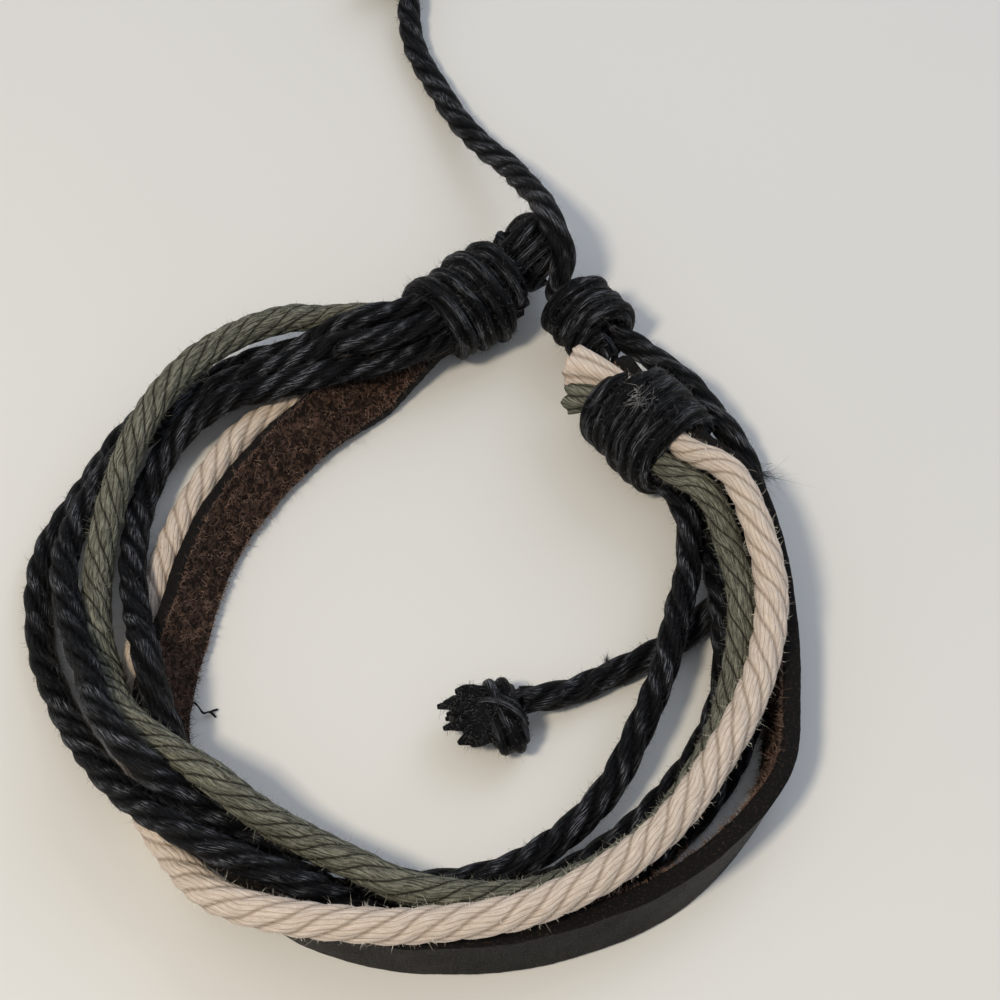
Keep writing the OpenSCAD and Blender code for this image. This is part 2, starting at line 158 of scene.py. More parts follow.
class KnotSizes(bpy.types.PropertyGroup):
    """Sizes of the wraps and knots, in millimetres."""
    cord: millimetres("Winding cord", "Diameter of the wound cord", 2.3)
    left_turns: FloatProperty(name="Left turns", description="Turns on the left wrap", default=3.7)
    right_turns: FloatProperty(name="Right turns", description="Turns on the right wrap", default=4.5)
    barrel_diameter: millimetres("Barrel knot", "Outer diameter of the barrel knot", 7.2)
    barrel_length: millimetres("Barrel length", "Length of the barrel knot", 7.5)
    round_diameter: millimetres("Round knot", "Diameter of the round knot", 7.25)
    stopper_width: millimetres("Stopper width", "Width of a stopper knot", 6.8)
    stopper_height: millimetres("Stopper height", "Height of a stopper knot", 4.6)
    stopper_cord: millimetres("Stopper cord", "Diameter of the cord in a stopper knot", 2.3)
    stopper_shift: millimetres("Stopper shift", "Shift of a stopper knot to one side", 1.3)
    ply: millimetres("Frayed ply", "Diameter of one frayed ply", 1.4)


class Finishes(bpy.types.PropertyGroup):
    """Colours of the materials."""
    cream: tint("Cream cotton", "Colour of the cream cord", (0.70, 0.61, 0.545))
    olive: tint("Olive cotton", "Colour of the olive cord", (0.22, 0.222, 0.18))
    black: tint("Black waxed cord", "Colour of the black cords", (0.0042, 0.0046, 0.0062))
    leather: tint("Leather face", "Colour of the smooth face", (0.0075, 0.007, 0.0075))
    suede: tint("Suede", "Colour of the suede face", (0.080, 0.046, 0.034))
    floor: tint("Surface", "Colour of the surface", (0.70, 0.70, 0.70))


class FuzzSizes(bpy.types.PropertyGroup):
    """Loose fibres on the cords and the suede."""
    length: millimetres("Hair length", "Longest loose fibre", 0.8)
    width: millimetres("Hair width", "Width of a loose fibre", 0.03)
    density: FloatProperty(name="Density", description="Loose fibres to each mm of cord", default=22.0)
    nap: millimetres("Nap", "Longest fibre of the suede", 0.55)


class StageSizes(bpy.types.PropertyGroup):
    """Camera and light."""
    lens: millimetres("Lens", "Focal length on a 36 mm sensor", 76.5)
    camera: FloatVectorProperty(
        name="Camera", description="Camera place", subtype="TRANSLATION",
        default=(0.007924, -0.095231, 0.153372))
    target: FloatVectorProperty(
        name="Target", description="Point that the camera looks at", subtype="TRANSLATION",
        default=(0.007924, 0.00822, 0.0))
    key: FloatProperty(name="Key", description="Power of the warm light, W", subtype="POWER", default=1.2)
    fill: FloatProperty(name="Fill", description="Power of the cool light, W", subtype="POWER", default=1.3)
    sky: FloatProperty(name="Sky", description="Strength of the light all round", default=0.45)


GROUPS = {
    "bracelet_strands": StrandSizes, "bracelet_knots": KnotSizes, "bracelet_finishes": Finishes,
    "bracelet_fuzz": FuzzSizes, "bracelet_stage": StageSizes,
}


# Curves

def unit(v):
    return v / np.linalg.norm(v, axis=-1, keepdims=True)


def polar(angle, r, z):
    return r * math.cos(math.radians(angle)), r * math.sin(math.radians(angle)), z


def heading(angle):
    return np.array(polar(angle, 1.0, 0.0))


def in_wrap(mouth, angle, slot, along, sign):
    """A place in a wrap, as in the part's source."""
    way = heading(angle)
    out = np.array([way[1], -way[0], 0.0]) * sign
    return np.array(mouth) + along * way + slot[0] * out + slot[1] * UP


def running(path):
    """Running length at each point of a path."""
    steps = np.linalg.norm(np.diff(path[:, :3], axis=0), axis=1)
    return np.concatenate([[0.0], np.cumsum(steps)])


def smooth(points, step):
    """The smooth curve of the part's source through control points, then spaced evenly."""
    p = np.asarray(points, float)
    s = running(p)
    index = np.arange(len(p))
    ahead, behind = np.minimum(index + 1, len(p) - 1), np.maximum(index - 1, 0)
    slope = (p[ahead] - p[behind]) / (s[ahead] - s[behind])[:, None]
    stretches = []
    for k in range(len(p) - 1):
        h = s[k + 1] - s[k]
        count = max(1, math.ceil(4 * h / step))
        u = (np.arange(count) / count)[:, None]
        stretches.append((2 * u**3 - 3 * u**2 + 1) * p[k] + (u**3 - 2 * u**2 + u) * h * slope[k]
                         + (3 * u**2 - 2 * u**3) * p[k + 1] + (u**3 - u**2) * h * slope[k + 1])
    fine = np.concatenate(stretches + [p[-1:]])
    length = running(fine)
    even = np.linspace(0, length[-1], max(2, math.ceil(length[-1] / step)) + 1)
    return np.stack([np.interp(even, length, column) for column in fine.T], axis=1)


def level_frames(path):
    """Way, side and up at each point of a path that nowhere stands upright."""
    way = unit(np.gradient(path[:, :3], axis=0))
    side = unit(np.cross(UP, way))
    return way, side, np.cross(way, side)


def carried_frames(path):
    """Way, side and up along any path, carried from point to point without a twist."""
    way = unit(np.gradient(path[:, :3], axis=0))
    side = np.zeros_like(way)
    last = np.cross(way[0], UP if abs(way[0][2]) < 0.9 else np.array([1.0, 0.0, 0.0]))
    for k, w in enumerate(way):
        last = last - np.dot(last, w) * w
        last = last / math.sqrt(np.dot(last, last))
        side[k] = last
    return way, side, np.cross(way, side)


def drift(s, seed, waves=((23.0, 0.5), (9.0, 0.3), (3.7, 0.2))):
    """A slow wander along a length, between about -1 and 1."""
    phases = np.random.default_rng(seed).uniform(0, 2 * math.pi, len(waves))
    return sum(size * np.sin(2 * math.pi * s / wave + phase) for (wave, size), phase in zip(waves, phases))


# Twisted cords

# How a cord is laid: millimetres to one twist, how far the plies stand out, yarns to a ply, their lean,
# the depth between them, and plies to the cord
Lay = namedtuple("Lay", "twist hug yarns lean ridge plies")
LAYS = {
    "cream_cotton": Lay(11.5, 0.9, yarns=4, lean=0.8, ridge=0.015, plies=5),
    "olive_cotton": Lay(12.5, 1.1, yarns=3, lean=0.8, ridge=0.025, plies=6),
    "waxed_cord": Lay(12.0, 0.8, yarns=4, lean=0.8, ridge=0.04, plies=4),
    "wound_waxed_cord": Lay(40.0, 1.3, yarns=3, lean=0.5, ridge=0.05, plies=5),
    "frayed_ply": Lay(5.0, 0.30, yarns=3, lean=0.2, ridge=0.05, plies=2),
}


def yarn_turn(lay):
    """Yarns passed in each millimetre of length."""
    return -lay.lean * lay.yarns * lay.plies / lay.twist


def cord_rings(path, radius, lay, seed, sides, carried=False, loose=0.0):
    """Rings of a laid cord and its length and ply coordinates. Whole ply numbers are ply middles."""
    s = running(path)
    way, side, up = carried_frames(path) if carried else level_frames(path)
    around = 2 * math.pi * np.arange(sides + 1) / sides
    turned = np.minimum(s, s[-1] - loose) / lay.twist + 0.05 * drift(s, seed)
    ply = lay.plies * (around[None, :] / (2 * math.pi) + turned[:, None])
    off = (ply - np.round(ply)) * 2 * math.pi / lay.plies
    lobe = (lay.hug * np.cos(off) + np.sqrt(1 - (lay.hug * np.sin(off)) ** 2)) / (1 + lay.hug)
    number = np.round(ply).astype(int) % lay.plies
    swell = np.ones_like(lobe)
    for k in range(lay.plies):
        swell += np.where(number == k, 0.02 * drift(s, seed + 17 * k + 1)[:, None], 0.0)
    yarn = lay.yarns * ply + (yarn_turn(lay) * s)[:, None]
    ridge = lay.ridge * (np.abs(np.sin(math.pi * yarn)) - 0.9)
    reach = np.broadcast_to(radius, s.shape)[:, None] * lobe * swell + ridge
    turn = np.cos(around)[None, :, None] * side[:, None, :] + np.sin(around)[None, :, None] * up[:, None, :]
    rings = path[:, None, :3] + reach[:, :, None] * turn
    return rings[:, :-1], np.broadcast_to(s[:, None], ply.shape), ply


def in_frame(points):
    """Points in metres in the part's frame, from millimetres from the ring's centre."""
    return (np.asarray(points, float)[..., :3] - BOX_MIDDLE) * MM


def new_piece(name, points, faces, materials):
    """A piece from points in millimetres from the ring's centre, with its faces and materials."""
    mesh = bpy.data.meshes.new(name)
    mesh.from_pydata(in_frame(points).tolist(), [], faces)
    for made in materials:
        mesh.materials.append(made)
    mesh.update()
    piece = bpy.data.objects.new(name, mesh)
    bpy.context.scene.collection.objects.link(piece)
    return piece


def finish_piece(piece, nodes=()):
    """Rides a piece on the bracelet and hides the nodes that it stands for."""
    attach(piece, "root")
    if nodes:
        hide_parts(*nodes)
    return piece


def skin_piece(name, skins, finishes, nodes=()):
    """A finished piece of closed skins, with a UV map of length and place round the section.

    A skin holds its rings, their lengths, their places round and, where it has several finishes, the
    number of the one that each column of faces shows.
    """
    points, faces, uv, shown, base = [], [], [], [], 0
    for rings, length, around, *columns in skins:
        n, m = rings.shape[:2]
        i, j = np.meshgrid(np.arange(n - 1), np.arange(m), indexing="ij")
        k = (j + 1) % m
        quads = base + np.stack([i * m + j, i * m + k, (i + 1) * m + k, (i + 1) * m + j], axis=-1)
        corners = (i, j), (i, j + 1), (i + 1, j + 1), (i + 1, j)
        u, v = (np.stack([grid[at] for at in corners], axis=-1) for grid in (length, around))
        faces += quads.reshape(-1, 4).tolist()
        uv.append(np.stack([u, v], axis=-1).reshape(-1, 2))
        finish = columns[0] if columns else np.zeros(m, int)
        shown += [np.tile(finish, n - 1), np.full(2 * m, finish[0])]
        points += [rings.reshape(-1, 3), rings[:1].mean(axis=1), rings[-1:].mean(axis=1)]
        first, last = base + n * m, base + n * m + 1
        start, stop = length[0, 0], length[-1, 0]
        for j in range(m):
            k = (j + 1) % m
            faces.append([first, base + k, base + j])
            faces.append([last, base + (n - 1) * m + j, base + (n - 1) * m + k])
            uv.append(np.array([
                [start, around[0, j]], [start, around[0, j + 1]], [start, around[0, j]],
                [stop, around[-1, j]], [stop, around[-1, j]], [stop, around[-1, j + 1]]]))
        base += n * m + 2
    piece = new_piece(name, np.concatenate(points), faces, [material(finish) for finish in finishes])
    mesh = piece.data
    mesh.uv_layers.new(name="Lay").data.foreach_set("uv", np.concatenate(uv).astype(np.float32).ravel())
    mesh.polygons.foreach_set("material_index", np.concatenate(shown).astype(np.int32))
    mesh.polygons.foreach_set("use_smooth", np.ones(len(faces), bool))
    mesh.update()
    return finish_piece(piece, nodes)


# Loose fibres

SURFACES = {}


def keep_surface(colour, rings, skip=0):
    """Keeps a cord's skin for its loose fibres to grow from, without the rings that the wraps hide."""
    SURFACES.setdefault(colour, []).append(rings[skip:len(rings) - skip] if skip else rings)


def fibre_mesh(name, roots, ways, bends, lengths, width, look):
    """Thin closed curved spikes, each from its root along its way and then over towards its bend."""
    ways = unit(ways)
    middle = roots + ways * (0.55 * lengths)[:, None]
    tip = middle + (ways * 0.45 + bends) * lengths[:, None]
    side = unit(np.cross(ways, unit(bends + 1e-6)))
    other = np.cross(ways, side)
    corners = [math.cos(a) * side + math.sin(a) * other for a in map(math.radians, (0, 120, 240))]
    base = [roots + width * 0.5 * corner for corner in corners]
    belt = [middle + width * 0.38 * corner for corner in corners]
    points = np.stack(base + belt + [tip], axis=1).reshape(-1, 3)
    pattern = [[0, 2, 1], [0, 1, 4, 3], [1, 2, 5, 4], [2, 0, 3, 5], [3, 4, 6], [4, 5, 6], [5, 3, 6]]
    points[:, 2] = np.maximum(points[:, 2], 0.0)
    faces = [[7 * k + c for c in face] for k in range(len(roots)) for face in pattern]
    return new_piece(name, points, faces, [material(look)])


def fuzz(name, surfaces, count, length, width, seed, look):
    """Loose fibres that grow from cord skins, leaning along and around them."""
    rng = np.random.default_rng(seed)
    shares = np.array([len(rings) for rings in surfaces], float)
    picks = rng.choice(len(surfaces), count, p=shares / shares.sum())
    roots, outs, alongs = np.zeros((3, count, 3))
    for k, rings in enumerate(surfaces):
        mine = np.flatnonzero(picks == k)
        i = rng.integers(1, len(rings) - 1, len(mine))
        j = rng.integers(0, rings.shape[1], len(mine))
        centre = rings[i].mean(axis=1)
        roots[mine] = rings[i, j]
        outs[mine] = unit(rings[i, j] - centre)
        alongs[mine] = unit(rings[i + 1].mean(axis=1) - rings[i - 1].mean(axis=1))
    around = np.cross(outs, alongs)
    lean = rng.normal(0, 0.6, (count, 1)) * alongs + rng.normal(0, 0.5, (count, 1)) * around
    ways = outs * rng.uniform(0.6, 1.3, (count, 1)) + lean
    bends = rng.normal(0, 0.45, (count, 3))
    sizes = length * rng.beta(1.4, 3.0, count) + 0.12
    return fibre_mesh(name, roots - outs * 0.05, ways, bends, sizes, width, look)


# Materials

class Finish:
    """A material with short calls that add and link its nodes."""

    def __init__(self, name):
        self.material = bpy.data.materials.new(name)
        self.material.use_nodes = True
        self.tree = self.material.node_tree
        self.shader = self.tree.nodes["Principled BSDF"]

    def put(self, sockets, values):
        """Links or sets sockets, each by its name or number."""
        for key, value in values.items():
            if isinstance(value, bpy.types.NodeSocket):
                self.tree.links.new(value, sockets[key])
            else:
                sockets[key].default_value = value

    def node(self, kind, values, **settings):
        """The outputs of a new node with the given inputs and settings."""
        made = self.tree.nodes.new(kind)
        for key, value in settings.items():
            setattr(made, key, value)
        self.put(made.inputs, values)
        return made.outputs

    def lay(self):
        """Length along the piece in millimetres, and the place round it."""
        place = self.node("ShaderNodeUVMap", {}, uv_map="Lay")[0]
        return self.node("ShaderNodeSeparateXYZ", {0: place})[:2]

    def place(self):
        """The place in the part's frame, in metres."""
        return self.node("ShaderNodeTexCoord", {})["Object"]

    def math(self, operation, a, b=0.0):
        return self.node("ShaderNodeMath", {0: a, 1: b}, operation=operation)[0]

    def times(self, a, b):
        return self.math("MULTIPLY", a, b)

    def plus(self, a, b):
        return self.math("ADD", a, b)

    def vector(self, x, y, z=0.0):
        return self.node("ShaderNodeCombineXYZ", {0: x, 1: y, 2: z})[0]

    def noise(self, vector, scale, detail=2.0, roughness=0.5, distortion=0.0):
        values = {"Vector": vector, "Scale": scale, "Detail": detail, "Roughness": roughness,
                  "Distortion": distortion}
        return self.node("ShaderNodeTexNoise", values)[0]

    def between(self, value, low, high, low_out=0.0, high_out=1.0):
        """Carries a value from one span to another, softly at both ends."""
        values = {0: value, 1: low, 2: high, 3: low_out, 4: high_out}
        return self.node("ShaderNodeMapRange", values, interpolation_type="SMOOTHSTEP")[0]

    def blend(self, share, a, b):
        """Mixes two colours, the second by the given share."""
        return self.node("ShaderNodeMix", {0: share, 6: a, 7: b}, data_type="RGBA")[2]

    def bump(self, height, distance, strength=1.0):
        values = {"Height": height, "Distance": distance, "Strength": strength}
        return self.node("ShaderNodeBump", values)[0]

    def surface(self, colour, roughness, normal=None, shine=0.5):
        values = {"Base Color": colour, "Roughness": roughness, "Specular IOR Level": shine}
        if normal is not None:
            values["Normal"] = normal
        self.put(self.shader.inputs, values)
        return self.material


def tone(colour, share):
    """A colour made darker or lighter by a share, as four numbers."""
    return (*[min(1.0, c * share) for c in colour], 1.0)


def cord_finish(name, colour, groove, glint_colour, rough, spread, depth, glint_share, dark, shine,
                fine=5.0, sparks=(0.52, 0.74), contrast=0.35, gap=0.40, patches=(0.35, 0.65)):
    """A laid cord: plies and yarns with painted shade between them, and painted glints on the ply crests.

    groove and glint_colour are its darkest and palest colours, for the painted shade and the painted
    glints;
    spread is how far its tone wanders. depth is the relief in millimetres, dark the strength of the painted
    shade between plies, which begins at gap, and contrast that of the dark fibres. The painted glints have
    the strength glint_share, fine of them fit across a yarn, and they show in patches.
    """
    f, lay = Finish(name), LAYS[name]
    s, ply = f.lay()
    wander = f.noise(f.vector(f.times(s, 0.5), ply), 1.0, 2.0)
    yarn = f.plus(f.times(ply, lay.yarns), f.times(s, yarn_turn(lay)))
    yarn = f.plus(yarn, f.times(wander, 0.7))
    crest = f.math("POWER", f.math("ABSOLUTE", f.math("SINE", f.times(yarn, math.pi))), 0.5)
    fibre = f.noise(f.vector(s, f.times(yarn, 3.4)), 1.0, 4.0, 0.7)
    off = f.math("ABSOLUTE", f.math("SUBTRACT", f.math("FRACT", f.plus(ply, 0.5)), 0.5))
    valley = f.between(off, gap, 0.5)
    shade = f.noise(f.vector(f.times(s, 0.25), f.times(yarn, 0.9), 3.0), 1.0, 3.0)
    body = f.blend(f.between(shade, 0.3, 0.7), tone(colour, 1 - spread), tone(colour, 1 + spread))
    body = f.blend(f.between(fibre, 0.36, 0.62, contrast, 0.0), body, tone(groove, 1.0))
    # Painted shade between the yarns: darker towards the groove colour where the yarn crest falls away
    body = f.blend(f.between(crest, 0.15, 0.6, 0.55, 0.0), body, tone(groove, 1.0))
    # Painted shade in the lines between the plies, as strong as dark
    body = f.blend(f.times(valley, dark), body, tone(groove, 0.6))
    # Painted glints: pale streaks in patches along the ply crests, in glint_colour
    spark = f.noise(f.vector(f.times(s, 0.8), f.times(yarn, fine), 7.0), 1.0, 4.0, 0.75)
    where = f.noise(f.vector(f.times(s, 0.35), f.times(ply, 0.8), 5.0), 1.0, 2.0)
    lit = f.times(f.between(spark, *sparks), f.between(where, *patches, 0.08, 1.0))
    lit = f.times(lit, f.between(off, 0.10, 0.40, 1.0, 0.05))
    body = f.blend(f.times(lit, glint_share), body, tone(glint_colour, 1.0))
    height = f.plus(f.times(crest, 0.5), f.times(fibre, 0.7))
    roughness = f.between(fibre, 0.3, 0.7, rough + 0.12, rough - 0.08)
    return f.surface(body, roughness, f.bump(height, depth * MM), shine=shine)


def fibre_finish(name, colour, rough=0.7):
    """A loose fibre, paler and darker along its way."""
    f = Finish(name)
    grain = f.noise(f.place(), 900.0, 1.0)
    colour = f.blend(f.between(grain, 0.35, 0.65), tone(colour, 0.75), tone(colour, 1.5))
    return f.surface(colour, rough)


def leather_finish(name, colour):
    """The smooth outer face: fine wrinkles across a dark, slightly shiny surface."""
    f = Finish(name)
    s, across = f.lay()
    grain = f.noise(f.vector(f.times(s, 1.3), across), 2.6, 5.0, 0.62, 0.6)
    pores = f.noise(f.vector(s, across), 9.0, 3.0, 0.6)
    stretched = f.vector(f.times(s, 2.2), f.times(across, 0.35))
    crease = f.noise(stretched, 1.3, 4.0, 0.6, 1.2)
    lines = f.math("ABSOLUTE", f.math("SUBTRACT", crease, 0.5))
    height = f.plus(f.times(grain, 0.5), f.times(pores, 0.3))
    height = f.plus(height, f.between(lines, 0.0, 0.035, 0.0, 0.35))
    # Lighter where the grain stands high, darker where it sinks
    raised_grain_tone = f.between(grain, 0.40, 0.72)
    body = f.blend(raised_grain_tone, tone(colour, 0.5), tone(colour, 2.4))
    # Painted shade in the creases: darker along the crease lines, where the relief is lowest
    body = f.blend(f.between(lines, 0.0, 0.03, 0.6, 0.0), body, tone(colour, 0.4))
    return f.surface(body, f.between(pores, 0.3, 0.7, 0.50, 0.36), f.bump(height, 0.30 * MM), shine=0.12)


def edge_finish(name, colour, suede):
    """The cut edge: dyed dark, with raw fibres showing through here and there."""
    f = Finish(name)
    s, across = f.lay()
    grain = f.noise(f.vector(f.times(s, 0.9), across), 4.5, 4.0, 0.7)
    body = f.blend(f.between(grain, 0.52, 0.72), tone(colour, 0.5), tone(suede, 0.6))
    return f.surface(body, 0.8, f.bump(grain, 0.12 * MM), shine=0.15)


def suede_finish(name, colour):
    """The suede inner face: mottled, matt and rough, with painted shade between its raised clumps and
    painted highlights on its nap.
    """
    f = Finish(name)
    s, across = f.lay()
    where = f.vector(s, across)
    patches = f.noise(where, 0.9, 4.0, 0.6)
    clumps = f.noise(where, 1.7, 6.0, 0.75, 1.2)
    nap = f.noise(where, 11.0, 4.0, 0.8)
    # Partly the suede's own mottling, partly painted shade: near black in the hollows between the raised
    # clumps
    body = f.blend(f.between(clumps, 0.44, 0.62), tone(colour, 0.08), tone(colour, 1.7))
    # Painted highlights on the nap
    body = f.blend(f.between(nap, 0.50, 0.80, 0.0, 0.5), body, tone(colour, 2.3))
    body = f.blend(f.between(patches, 0.35, 0.7, 0.5, 0.0), body, tone(colour, 0.2))
    height = f.plus(f.times(clumps, 0.7), f.times(nap, 0.6))
    return f.surface(body, 0.95, f.bump(height, 0.30 * MM), shine=0.15)


def surface_finish(name, colour):
    """The pale surface: matt, with a very faint grain."""
    f = Finish(name)
    grain = f.noise(f.place(), 700.0, 3.0)
    wide = f.noise(f.place(), 9.0, 2.0)
    body = f.blend(f.between(wide, 0.3, 0.7), tone(colour, 0.985), tone(colour, 1.012))
    return f.surface(body, 0.75, f.bump(grain, 0.02 * MM, 0.6), shine=0.25)


# What the black cords and the wound black cord share
WAXED_LOOK = {
    "groove": (0.0010, 0.0010, 0.0013), "spread": 0.4, "depth": 0.30, "glint_share": 0.95, "dark": 1.0,
    "shine": 0.09, "fine": 5.0, "sparks": (0.48, 0.61), "contrast": 0.7, "gap": 0.26,
    "patches": (0.43, 0.60),
}
MATERIALS = {}


def material(name):
    """One of the bracelet's materials, made when it is first asked for."""
    if name not in MATERIALS:
        c = bpy.context.scene.bracelet_finishes
        makers = {
            "cream_cotton": lambda: cord_finish(
                name, c.cream, groove=(0.36, 0.25, 0.17), glint_colour=(0.86, 0.79, 0.72), rough=0.80,
                spread=0.08, depth=0.14, glint_share=0.45, dark=0.62, shine=0.35, contrast=0.42, gap=0.30),
            "olive_cotton": lambda: cord_finish(
                name, c.olive, groove=(0.016, 0.015, 0.010), glint_colour=(0.50, 0.50, 0.42), rough=0.80,
                spread=0.30, depth=0.22, glint_share=0.75, dark=0.9, shine=0.15, fine=3.5, contrast=0.85,
                gap=0.34),
            "waxed_cord": lambda: cord_finish(
                name, c.black, glint_colour=(0.20, 0.21, 0.25), rough=0.42, **WAXED_LOOK),
            "wound_waxed_cord": lambda: cord_finish(
                name, c.black, glint_colour=(0.18, 0.19, 0.225), rough=0.45, **WAXED_LOOK),
            "frayed_ply": lambda: cord_finish(
                name, c.black, groove=(0.0015, 0.0015, 0.002), glint_colour=(0.06, 0.063, 0.07), rough=0.70,
                spread=0.3, depth=0.12, glint_share=0.5, dark=0.6, shine=0.1),
            "smooth_leather": lambda: leather_finish(name, c.leather),
            "cut_edge": lambda: edge_finish(name, c.leather, c.suede),
            "suede": lambda: suede_finish(name, c.suede),
            "cream_fibre": lambda: fibre_finish(name, tone(c.cream, 1.05)[:3]),
            "olive_fibre": lambda: fibre_finish(name, tone(c.olive, 1.0)[:3]),
            "black_fibre": lambda: fibre_finish(name, (0.03, 0.03, 0.035), 0.55),
            "knot_fibre": lambda: fibre_finish(name, (0.08, 0.082, 0.09), 0.55),
            "pale_fibre": lambda: fibre_finish(name, (0.32, 0.32, 0.33)),
            "suede_fibre": lambda: fibre_finish(name, (0.125, 0.078, 0.060), 0.9),
            "pale_surface": lambda: surface_finish(name, c.floor),
        }
        MATERIALS[name] = makers[name]()
    return MATERIALS[name]


# Operators

class BRACELET_OT_stage(bpy.types.Operator):
    """Pale surface, camera and two soft lights"""
    bl_idname = "bracelet.stage"
    bl_label = "Stage"

    def execute(self, context):
        sizes = context.scene.bracelet_stage
        bpy.ops.mesh.primitive_plane_add(size=3.0)
        floor = context.object
        floor.name = "surface"
        floor.data.materials.append(material("pale_surface"))
        bpy.ops.object.camera_add(location=sizes.camera)
        camera = context.object
        camera.data.lens = sizes.lens
        camera.data.sensor_width = 36.0
        camera.data.clip_start = 0.01
        gaze = camera.location - mathutils.Vector(sizes.target)
        camera.rotation_euler = gaze.to_track_quat("Z", "Y").to_euler()
        context.scene.camera = camera
        for name, place, size, power, colour in (
                ("warm_lamp", (-0.168, -0.172, 0.38), 0.07, sizes.key, (1.0, 0.87, 0.66)),
                ("cool_window", (0.34, 0.40, 0.42), 0.48, sizes.fill, (0.74, 0.84, 1.0))):
            bpy.ops.object.light_add(type="AREA", location=place)
            lamp = context.object
            lamp.name = name
            lamp.data.size = size
            lamp.data.energy = power
            lamp.data.color = colour
            lamp.rotation_euler = lamp.location.to_track_quat("Z", "Y").to_euler()
        world = context.scene.world or bpy.data.worlds.new("room")
        context.scene.world = world
        world.use_nodes = True
        sky = world.node_tree.nodes["Background"]
        sky.inputs["Color"].default_value = (0.93, 0.965, 1.0, 1.0)
        sky.inputs["Strength"].default_value = sizes.sky
        context.scene.view_settings.view_transform = "Standard"
        return {"FINISHED"}


def pull_cord(name, node, route):
    """A pull cord along its route, thinner where it runs through the barrel knot."""
    sizes = bpy.context.scene.bracelet_strands
    path = smooth(route, sizes.step)
    knot_reach, squeeze = 5.6, 0.25
    near = np.clip(1 - np.linalg.norm(path - np.array(BARREL_KNOT), axis=1) / knot_reach, 0, 1)
    radius = sizes.pull / 2 * (1 - squeeze * near)
    rings, length, ply = cord_rings(path, radius, LAYS["waxed_cord"], 31 + len(name), sides=48)
    piece = skin_piece(name, [(rings, length, ply)], ["waxed_cord"], [node])
    keep_surface("black", rings)
    return piece


def coil_around(middle, way, radius, lengths, angles):
    """Points on a coil round an axis, from their places along the axis and their angles in degrees."""
    way = unit(np.asarray(way, float))
    first = unit(np.cross(way, UP))
    second = np.cross(way, first)
    a = np.radians(angles)[:, None]
    return (np.array(middle) + lengths[:, None] * way
            + radius[:, None] * (np.cos(a) * first + np.sin(a) * second))


def wound(name, nodes, pieces, seed, sides=36, look="wound_waxed_cord"):
    """One piece of wound cord from several paths, each with its radius or the radii at its points."""
    skins = []
    for k, (path, radius) in enumerate(pieces):
        even = smooth(path, step=0.3)
        given = running(np.asarray(path, float))
        thick = np.interp(running(even), given, np.broadcast_to(radius, len(path)))
        rings, length, ply = cord_rings(even, thick, LAYS[look], seed + 13 * k, sides, carried=True)
        rings[:, :, 2] = np.maximum(rings[:, :, 2], 0.02)
        skins.append((rings, length, ply))
        keep_surface("knot", rings)
    return skin_piece(name, skins, [look], nodes)


def stopper(name, node, route, seed):
    """An overhand knot at the end of a pull cord, with its plies cut short and frayed behind it."""
    knots = bpy.context.scene.bracelet_knots
    end = np.array(route[-1])
    way = unit(end - np.array(route[-2]))
    side = unit(np.cross(UP, way))
    up = np.cross(way, side)
    middle = end + knots.stopper_shift * side

    def spot(along, sideways, lift):
        return middle + along * way + sideways * side + lift * up

    half = knots.stopper_width / 2 - knots.stopper_cord / 2
    low = knots.stopper_height / 2 - knots.stopper_cord / 2
    t = np.linspace(0, 1, 33)
    angle = np.radians(-60 + 620 * t)
    band = [spot(1.0 + 1.3 * k + 0.25 * math.sin(a), half * math.cos(a), low * math.sin(a))
            for k, a in zip(t, angle)]
    entry = [end - 0.5 * way, spot(0.6, -0.9, -0.3)]
    cross = [spot(0.7, 1.3, low * 0.5), spot(1.5, 0.6, low + 0.5),
             spot(2.6, -0.5, low + 0.1), spot(3.3, -0.9, -0.2)]
    thick = knots.stopper_cord / 2
    tied = [(entry + band, thick), (cross, thick * 0.85)]
    fan = []
    for start_side, start_up, tip_along, tip_side, tip_up in FRAYED_PLIES:
        start, tip = spot(2.0, start_side, start_up), spot(tip_along, tip_side, tip_up)
        share = np.linspace(0, 1, 6)[:, None]
        route_out = start + share * (tip - start) + 0.3 * np.sin(math.pi * share) * up
        route_out[:, 2] = np.maximum(route_out[:, 2], knots.ply / 2)
        fan.append((route_out, knots.ply / 2 * np.array([0.9, 1.0, 1.05, 1.0, 0.8, 0.3])))
    return [wound(name, [node], tied, seed),
            wound(name + "_frayed", (), fan, seed + 3, sides=16, look="frayed_ply")]


class BRACELET_OT_pull_cords(bpy.types.Operator):
    """Both pull cords with their stopper knots"""
    bl_idname = "bracelet.pull_cords"
    bl_label = "Pull cords"

    def execute(self, context):
        top = stopper("top_stopper", "top_stopper_knot", TOP_ROUTE, 71)
        inner = stopper("inner_stopper", "inner_stopper_knot", INNER_ROUTE, 72)
        pull_cord("top_cord", "top_pull_cord", TOP_ROUTE)
        pull_cord("inner_cord", "inner_pull_cord", INNER_ROUTE)
        return {"FINISHED"}


def between_wraps(place, points, at_left, at_right):
    """Control points through a place in the left wrap, then the given ones, and through the right wrap."""
    left = [(*in_wrap(LEFT_MOUTH, LEFT_HEADING, LEFT_SLOTS[place], a, -1), *at_left)
            for a in (LEFT_LENGTH, LEFT_LENGTH / 2, 0)]
    right = [(*in_wrap(RIGHT_MOUTH, RIGHT_HEADING, RIGHT_SLOTS[place], a, 1), *at_right)
             for a in (0, RIGHT_LENGTH / 2, RIGHT_LENGTH)]
    return left + points + right


